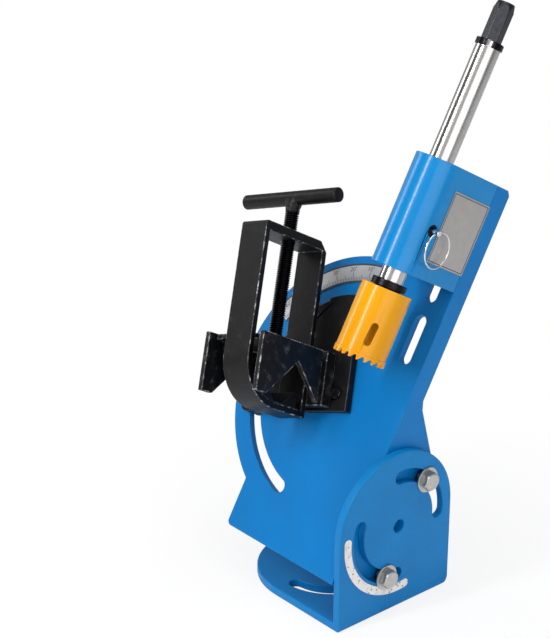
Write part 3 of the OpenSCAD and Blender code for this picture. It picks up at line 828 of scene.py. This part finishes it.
@dataclass
class AngleScale:
    """The strip of degrees on the head plate, read at the swivel plate's edge."""

    radii: tuple[float, float] = (104.0, 121.6)
    ends: tuple[float, float] = (84.0, 158.0)
    face: float = 0.8
    ink_t: float = 0.06
    border: float = 1.7
    # Where 0 stands, in degrees from X, is a guess, and the clamp's edge doesn't read true on it
    zero: float = 92.0
    highest: int = 60
    # At tens, at fives and at the other degrees
    tick_lengths: tuple[float, float, float] = (8.0, 5.6, 3.4)
    tick_w: float = 0.4
    tens_wider: float = 1.3
    number_h: float = 5.8
    number_up: float = 9.0

    def ticks(self) -> bpy.types.Object:
        """Makes a tick at each degree, longer at fives and tens.

        A tick at angle a is a thin block along the radius: its corners are
        r times (cos a, sin a) plus or minus half a width across.
        """
        degrees = np.arange(math.ceil(self.ends[0]) + 1, math.floor(self.ends[1]))
        step = np.abs(degrees - int(self.zero))
        tens, fives, others = self.tick_lengths
        length = np.select([step % 10 == 0, step % 5 == 0], [tens, fives], others)
        width = np.where(step % 10 == 0, self.tick_w * self.tens_wider, self.tick_w) / 2
        a = np.radians(degrees)
        along = np.stack([np.cos(a), np.sin(a)], -1)
        across = np.stack([-np.sin(a), np.cos(a)], -1)
        r0 = self.radii[0] + self.border
        inner, outer = along * r0, along * (r0 + length)[:, None]
        side = across * width[:, None]
        corners = np.stack([inner - side, outer - side, outer + side, inner + side], 1)
        return plates("scale_ticks", DIAL, corners, self.face, self.face + self.ink_t)

    def number(self, value: int, degree: float) -> bpy.types.Object:
        """Makes one number that stands over its tick.

        Args:
            value: the number.
            degree: the tick's angle from X.

        Returns:
            The flat raised number.
        """
        text = bpy.data.curves.new(f"number_{value}", "FONT")
        text.body = f"{value}\u00b0"
        text.size = self.number_h
        text.align_x = "CENTER"
        text.extrude = self.ink_t / 2
        text.resolution_u = 3
        holder = bpy.data.objects.new(f"number_{value}", text)
        bpy.context.scene.collection.objects.link(holder)
        bpy.context.view_layer.update()
        mesh = bpy.data.meshes.new_from_object(holder.evaluated_get(bpy.context.evaluated_depsgraph_get()))
        bpy.data.objects.remove(holder)
        points = np.empty(len(mesh.vertices) * 3)
        mesh.vertices.foreach_get("co", points)
        points = points.reshape(-1, 3)
        turn = math.radians(degree - 90)
        r = self.radii[0] + self.border + self.number_up
        x = points[:, 0] * math.cos(turn) - points[:, 1] * math.sin(turn) + r * math.cos(math.radians(degree))
        y = points[:, 0] * math.sin(turn) + points[:, 1] * math.cos(turn) + r * math.sin(math.radians(degree))
        z = points[:, 2] + self.face + self.ink_t / 2
        mesh.vertices.foreach_set("co", DIAL.place(np.stack([x, y, z], -1)).reshape(-1))
        mesh.update()
        thing = bpy.data.objects.new(f"scale_number_{value}", mesh)
        bpy.context.scene.collection.objects.link(thing)
        return thing

    def build(self) -> None:
        """Dresses the strip and prints its borders, ticks and numbers."""
        finish_node("angle_scale", Paint.SCALE)
        top = self.face + self.ink_t
        rims = (
            ("scale_rim_inner", (self.radii[0], self.radii[0] + self.border)),
            ("scale_rim_outer", (self.radii[1] - self.border, self.radii[1])),
        )
        for name, radii in rims:
            rim = arc_plate(name, DIAL, radii, self.ends, (self.face, top))
            settle(dress(rim, Paint.INK), "head", "black_paint")
        settle(dress(self.ticks(), Paint.INK), "head", "black_paint")
        for value in range(0, self.highest + 1, 10):
            settle(dress(self.number(value, self.zero + value), Paint.INK), "head", "black_paint")


@dataclass
class Head:
    """The bent head plate with its scale."""

    scale: AngleScale = field(default_factory=AngleScale)

    def build(self) -> None:
        """Makes the painted plate and its scale."""
        softened("main_plate", "blue_body", Paint.HEAD_BLUE, width_mm=0.9, segments=3)
        self.scale.build()


@dataclass
class SpindleBlock:
    """The spindle block with its bare foil label, bolts, bearings and seals."""

    face_x: float = -8.1
    back: float = -46.0
    label_w: float = 50.0
    label_low: float = 225.8
    label_h: float = 65.0
    label_t: float = 0.8
    label_dish: float = 0.2
    inset: float = 1.3
    line_w: float = 0.7
    ink_t: float = 0.05

    def label_border(self) -> bpy.types.Object:
        """Makes the printed line a little inside the label's edge.

        The line is four strips that share their corners as a picture frame does.
        """
        front = self.back - self.label_w
        y = [front + self.inset, self.back - self.inset]
        z = [self.label_low + self.inset, self.label_low + self.label_h - self.inset]
        w = self.line_w
        outer = np.array([[y[0], z[0]], [y[1], z[0]], [y[1], z[1]], [y[0], z[1]]])
        inner = np.array(
            [[y[0] + w, z[0] + w], [y[1] - w, z[0] + w], [y[1] - w, z[1] - w], [y[0] + w, z[1] - w]]
        )
        sides = np.stack(
            [np.stack([outer[k], outer[(k + 1) % 4], inner[(k + 1) % 4], inner[k]]) for k in range(4)]
        )
        side = Axes(HEAD.origin, HEAD.y, HEAD.z, HEAD.x)
        face = self.face_x + self.label_t - self.label_dish
        return plates("label_line", side, sides, face, face + self.ink_t)

    def build(self) -> None:
        """Makes the painted block and dresses what is on and in it."""
        softened("spindle_block", "blue_block", Paint.BLOCK_BLUE, width_mm=0.6, segments=2)
        finish_node("name_plate", Paint.FOIL)
        settle(dress(self.label_border(), Paint.INK), "block", "black_paint")
        softened("block_bolts", "dark_steel", Paint.BLACK_OXIDE, width_mm=0.35)
        softened("block_washers", "zinc", Paint.ZINC, width_mm=0.3)
        finish_node("bearing_cups", Paint.GROUND)
        finish_node("bearing_cages", Paint.BRASS)
        finish_node("bearing_rollers", Paint.CHROME)
        finish_node("spindle_seals", Paint.RUBBER)
        finish_node("plunger_sleeve", Paint.BLACK_OXIDE)


@dataclass
class Spindle:
    """The ground shaft with its collar, hex, nut and hole saw."""

    axis: tuple[float, float] = (-30.6, -103.0)
    collar_radii: tuple[float, float] = (9.8, 12.5)
    collar_heights: tuple[float, float] = (414.5, 420.0)
    # The opening faces the camera so that the bright shaft shows there: a painted highlight on the collar
    highlight_gap_at: float = -49.0
    highlight_gap: float = 30.0

    def collar(self) -> bpy.types.Object:
        """Makes the stop collar: a ring painted dark as painted reflection, open on the camera's side, where
        the bright shaft shows through as a painted highlight.
        """
        here = HEAD.inside((*self.axis, 0.0), 0.0)
        ends = (self.highlight_gap_at + self.highlight_gap / 2, self.highlight_gap_at + 360 - self.highlight_gap / 2)
        return arc_plate("collar_with_highlight_gap", here, self.collar_radii, ends, self.collar_heights)

    def build(self) -> None:
        """Makes the softened pieces and dresses the rest."""
        softened("spindle_shaft", "shaft_steel", Paint.GROUND, width_mm=0.4)
        # The collar's black oxide paints its dark reflections: painted reflection
        ring = dress(smooth(self.collar()), Paint.BLACK_OXIDE)
        bevel(ring, 0.4)
        settle(ring, "spindle", "dark_steel", "stop_collar")
        softened("drive_hex", "dark_steel", Paint.DARK_STEEL, width_mm=0.5)
        softened("saw_nut", "black_paint", Paint.BLACK_OXIDE, width_mm=0.4)
        softened("hole_saw", "saw_paint", Paint.SAW_YELLOW, width_mm=0.25)


@dataclass
class LockPin:
    """The spindle's lock pin with its pull ring."""

    def build(self) -> None:
        """Dresses the pin and ring."""
        finish_node("lock_pin", Paint.CHROME)
        finish_node("pin_ring", Paint.CHROME)


@dataclass
class ClampScrew:
    """The clamp's threaded screw, its cross bar and the weld between them."""

    centre: tuple[float, float] = (-37.5, -103.0)
    low: float = 36.7
    top: float = 157.5
    radius: float = 6.5
    pitch: float = 2.0
    depth: float = 1.15
    # How steep the wave's flanks are, and how much of it is cut off flat
    flank: float = 1.35
    flat: float = 0.15
    # The plain tip, the length over which the thread then grows, and the tip's chamfer
    tip: float = 4.0
    fade: float = 2.0
    chamfer_h: float = 0.8
    chamfer_slope: float = 0.6
    bar_q: float = 169.6
    bar_off: float = -2.5
    bar_len: float = 112.0
    bar_r: float = 6.8
    bar_rim: float = 1.4
    bar_wave: float = 0.05
    weld_h: float = 13.6
    weld_flare: float = 8.0
    bead: float = 0.28

    def thread(self) -> bpy.types.Object:
        """Makes the screw's threaded surface.

        The radius is the crest's minus the depth times a wave of the height less
        the angle's share of the pitch: the wave rises and falls in straight
        flanks between a flat crest and a flat root, and fades out over the tip.
        """
        around, per_turn = 40, 12
        z = np.linspace(self.low, self.top, int((self.top - self.low) / self.pitch * per_turn))
        a = np.linspace(0, 2 * math.pi, around, endpoint=False)
        phase = (z[:, None] / self.pitch - a[None, :] / (2 * math.pi)) % 1.0
        wave = np.clip(np.abs(phase - 0.5) * 2 * self.flank - self.flat, 0, 1)
        grow = np.clip((z - self.low - self.tip) / self.fade, 0, 1)[:, None]
        r = self.radius - self.depth + self.depth * (1 - wave) * grow
        chamfer = (self.low + self.chamfer_h - z)[:, None] * self.chamfer_slope
        r = np.where((z < self.low + self.chamfer_h)[:, None], r - chamfer, r)
        rings = np.stack(
            [
                self.centre[0] + r * np.cos(a),
                self.centre[1] + r * np.sin(a),
                np.broadcast_to(z[:, None], r.shape),
            ],
            -1,
        )
        return tube_like("clamp_thread", CLAMP, rings)

    def bar(self) -> bpy.types.Object:
        """Makes the cross bar along the clamp's X.

        The profile has rounded rims, and the radius between them carries slight waves.
        """
        along = Axes(CLAMP.origin, CLAMP.y, CLAMP.z, CLAMP.x)
        half, r, mid = self.bar_len / 2, self.bar_r, self.centre[0] + self.bar_off
        rim = self.bar_rim
        a = np.linspace(0, math.pi / 2, 7)
        round_in = np.stack([r - rim + rim * np.sin(a), mid - half + rim - rim * np.cos(a)], -1)
        straight = np.linspace(mid - half + 2, mid + half - 2, 60)
        waves = self.bar_wave * np.sin(straight * 0.9) * np.sin(straight * 0.23)
        body = np.stack([r + waves, straight], -1)
        round_out = np.stack([r - rim + rim * np.cos(a), mid + half - rim + rim * np.sin(a)], -1)
        profile = np.concatenate([round_in, body, round_out])
        return lathe("handle_bar", along, (self.centre[1], self.bar_q), profile.tolist())

    def weld(self) -> bpy.types.Object:
        """Makes the weld that flares from the screw to the bar.

        With t from 0 at the bottom to 1 inside the bar, the half width is the
        screw's radius plus weld_flare times t cubed along the bar. Across the bar it
        is the radius less 0.2 plus 0.6 t. Waves of both angle and height raise beads.
        """
        around = 48
        t = np.linspace(0, 1, 22)
        a = np.linspace(0, 2 * math.pi, around, endpoint=False)
        ripple = np.sin(5 * a + 3 * np.sin(9 * t[:, None]))
        beads = self.bead * ripple * np.sin(math.pi * np.clip(t * 1.3, 0, 1))[:, None]
        wide = self.radius + self.weld_flare * t[:, None] ** 3 + beads
        deep = self.radius - 0.2 + 0.6 * t[:, None] + beads * 0.6
        z = self.bar_q - self.weld_h + (self.weld_h - 1.5) * t
        rings = np.stack(
            [
                self.centre[0] + wide * np.cos(a),
                self.centre[1] + deep * np.sin(a),
                np.broadcast_to(z[:, None], wide.shape),
            ],
            -1,
        )
        return tube_like("handle_weld", CLAMP, rings)

    def build(self) -> None:
        """Makes the three pieces in place of the CAD's plain ones."""
        settle(dress(smooth(self.thread(), 50), Paint.BLACK_OXIDE), "screw", "black_paint", "clamp_screw")
        settle(dress(smooth(self.bar()), Paint.BLACK), "screw", "black_paint", "t_handle")
        settle(dress(smooth(self.weld(), 60), Paint.BLACK), "screw", "black_paint")
        finish_node("jaw_rivet", Paint.ZINC)


@dataclass
class Clamp:
    """The swivelling clamp: plate, spacer, frame, jaws and screw."""

    screw: ClampScrew = field(default_factory=ClampScrew)

    def build(self) -> None:
        """Makes the black pieces with pale edges, partly rubbed and partly painted edge highlight, and the
        fasteners.
        """
        softened("swivel_plate", "black_paint", Paint.BLACK, Paint.SOFT_RUBBED_SHEEN, 0.7)
        softened("spacer_block", "black_paint", Paint.DUSTY_BLACK, Paint.RUBBED_SHEEN, 0.9)
        softened("clamp_frame", "black_paint", Paint.BLACK, Paint.RUBBED_SHEEN, 0.7)
        softened("lower_jaw", "black_paint", Paint.BLACK, Paint.SOFT_RUBBED_SHEEN, 0.6)
        softened("upper_jaw", "black_paint", Paint.DUSTY_BLACK, Paint.RUBBED_SHEEN, 0.8)
        for node in ("pivot_bolt", "pivot_washer", "lock_bolt", "lock_washer", "jaw_washer"):
            softened(node, "zinc", Paint.ZINC, width_mm=0.35)
        self.screw.build()


# ---- studio ----


@dataclass(frozen=True)
class Lamp:
    """A soft box that points at the notcher."""

    name: str
    towards: tuple[float, float, float]
    distance: float
    size: tuple[float, float]
    watts: float


@dataclass
class Studio:
    """White floor, soft lamps and the photograph's camera."""

    target: tuple[float, float, float] = (0.02, 0.0, 0.26)
    camera_at: tuple[float, float, float] = (1.20806, -1.12498, 0.98575)
    right: tuple[float, float, float] = (0.653377, 0.757016, 0.005073)
    up: tuple[float, float, float] = (-0.308293, 0.259954, 0.915084)
    back: tuple[float, float, float] = (0.691415, -0.599459, 0.403230)
    focal_px: float = 2050.0
    # What glossy rays see: pairs of direction, from 0 to 1 round the Z axis, and level
    bands: tuple[tuple[float, float], ...] = (
        (0.0, 0.42), (0.10, 0.36), (0.125, 0.05), (0.21, 0.04), (0.24, 0.8), (0.32, 0.7), (0.40, 0.26),
        (0.425, 0.16), (0.433, 0.85), (0.445, 0.85), (0.455, 0.32), (0.6, 0.24), (0.8, 0.32), (0.99, 0.42),
    )
    lamps: tuple[Lamp, ...] = (
        Lamp("key", (-0.142, -0.841, 0.521), 1.9, (0.2, 1.3), 22.0),
        Lamp("side", (1.0, -0.35, 0.35), 2.4, (2.2, 1.8), 24.0),
        Lamp("top", (0.15, 0.05, 1.0), 2.1, (1.4, 1.4), 18.0),
        Lamp("left", (-1.0, -0.35, 0.35), 2.0, (0.4, 1.2), 8.0),
    )

    def camera(self) -> None:
        """Places the camera where the photograph's was."""
        data = bpy.data.cameras.new("photo_camera")
        data.sensor_width = SENSOR_MM
        data.lens = self.focal_px * SENSOR_MM / IMAGE_H
        data.clip_start, data.clip_end = 0.05, 50.0
        holder = bpy.data.objects.new("photo_camera", data)
        bpy.context.scene.collection.objects.link(holder)
        turn = np.eye(4)
        for column, axis in enumerate((self.right, self.up, self.back, self.camera_at)):
            turn[:3, column] = axis
        holder.matrix_world = Matrix(turn.tolist())
        bpy.context.scene.camera = holder

    def light(self) -> None:
        """Hangs the soft boxes."""
        target = np.array(self.target)
        for lamp in self.lamps:
            data = bpy.data.lights.new(lamp.name, "AREA")
            data.shape = "RECTANGLE"
            data.size, data.size_y = lamp.size
            data.energy = lamp.watts
            holder = bpy.data.objects.new(lamp.name, data)
            bpy.context.scene.collection.objects.link(holder)
            z = np.array(lamp.towards) / np.linalg.norm(lamp.towards)
            x = np.cross((0, 0, 1.0), z) if abs(z[2]) < 0.95 else np.array((1.0, 0, 0))
            x = x / np.linalg.norm(x)
            turn = np.eye(4)
            turn[:3, 0], turn[:3, 1], turn[:3, 2] = x, np.cross(z, x), z
            turn[:3, 3] = target + z * lamp.distance
            holder.matrix_world = Matrix(turn.tolist())

    def world(self) -> None:
        """Makes a world: white to the camera, banded to glossy rays, grey as light."""
        world = bpy.data.worlds.new("studio")
        bpy.context.scene.world = world
        world.use_nodes = True
        tree = world.node_tree
        tree.nodes.clear()
        path = add(tree, "LightPath", {}, {})
        white = add(tree, "Background", {"Color": (1, 1, 1, 1), "Strength": 1.0}, {})
        soft = add(tree, "Background", {"Color": linear("#f4f6f8"), "Strength": 0.34}, {})
        coords = add(tree, "TexCoord", {}, {}).outputs["Generated"]
        turn = add(tree, "TexGradient", {"gradient_type": "RADIAL"}, {"Vector": coords})
        bands = add(tree, "ValToRGB", {}, {0: turn.outputs["Fac"]})
        ramp = bands.color_ramp
        for direction, level in self.bands:
            stop = ramp.elements[0] if direction == 0.0 else ramp.elements.new(direction)
            stop.color = (level, level, level, 1.0)
        glossy = add(tree, "Background", {"Strength": 1.0}, {"Color": bands.outputs["Color"]})
        shine = add(
            tree,
            "MixShader",
            {},
            {0: path.outputs["Is Glossy Ray"], 1: soft.outputs[0], 2: glossy.outputs[0]},
        )
        seen = add(
            tree,
            "MixShader",
            {},
            {0: path.outputs["Is Camera Ray"], 1: shine.outputs[0], 2: white.outputs[0]},
        )
        out = tree.nodes.new("ShaderNodeOutputWorld")
        tree.links.new(seen.outputs[0], out.inputs["Surface"])

    def floor(self) -> None:
        """Lays a wide white floor that keeps a faint shadow.

        To the camera it is part plain white and part lit, so it stays white
        where nothing stands and darkens softly round the foot.
        """
        half = 7.0
        corners = np.array([[[-half, -half], [half, -half], [half, half], [-half, half]]]) / MM
        floor = plates("studio_floor", ROW, corners, -2.0, 0.0)
        material, tree, out = bare_tree("floor_white")
        path = add(tree, "LightPath", {}, {})
        lit = add(tree, "BsdfDiffuse", {"Color": linear("#f7f7f8")}, {})
        white = add(tree, "Emission", {"Color": (1, 1, 1, 1), "Strength": 1.0}, {})
        coords = object_coords(tree)
        reach = add(tree, "VectorMath", {"operation": "LENGTH"}, {0: coords}).outputs["Value"]
        far = add(
            tree,
            "MapRange",
            {"interpolation_type": "SMOOTHSTEP", "From Min": 0.12, "From Max": 0.42, "To Min": 0.8},
            {"Value": reach},
        )
        blend = add(
            tree,
            "Math",
            {"operation": "MULTIPLY"},
            {0: path.outputs["Is Camera Ray"], 1: far.outputs["Result"]},
        )
        mixed = add(tree, "MixShader", {}, {0: blend.outputs[0], 1: lit.outputs[0], 2: white.outputs[0]})
        tree.links.new(mixed.outputs[0], out.inputs["Surface"])
        floor.data.materials.append(material)

    def build(self) -> None:
        """Builds the whole studio."""
        self.camera()
        self.light()
        self.world()
        self.floor()
        bpy.context.scene.view_settings.view_transform = "Standard"
        LOG.info("studio with %d lamps", len(self.lamps))


def main() -> None:
    """Builds the studio and each sub-assembly."""
    logging.basicConfig(level=logging.INFO, format="%(name)s: %(message)s")
    Studio().build()
    for part in (Bracket(), Head(), SpindleBlock(), Spindle(), LockPin(), Clamp()):
        LOG.info("building %s", type(part).__name__)
        part.build()


if __name__ == "__main__":
    main()
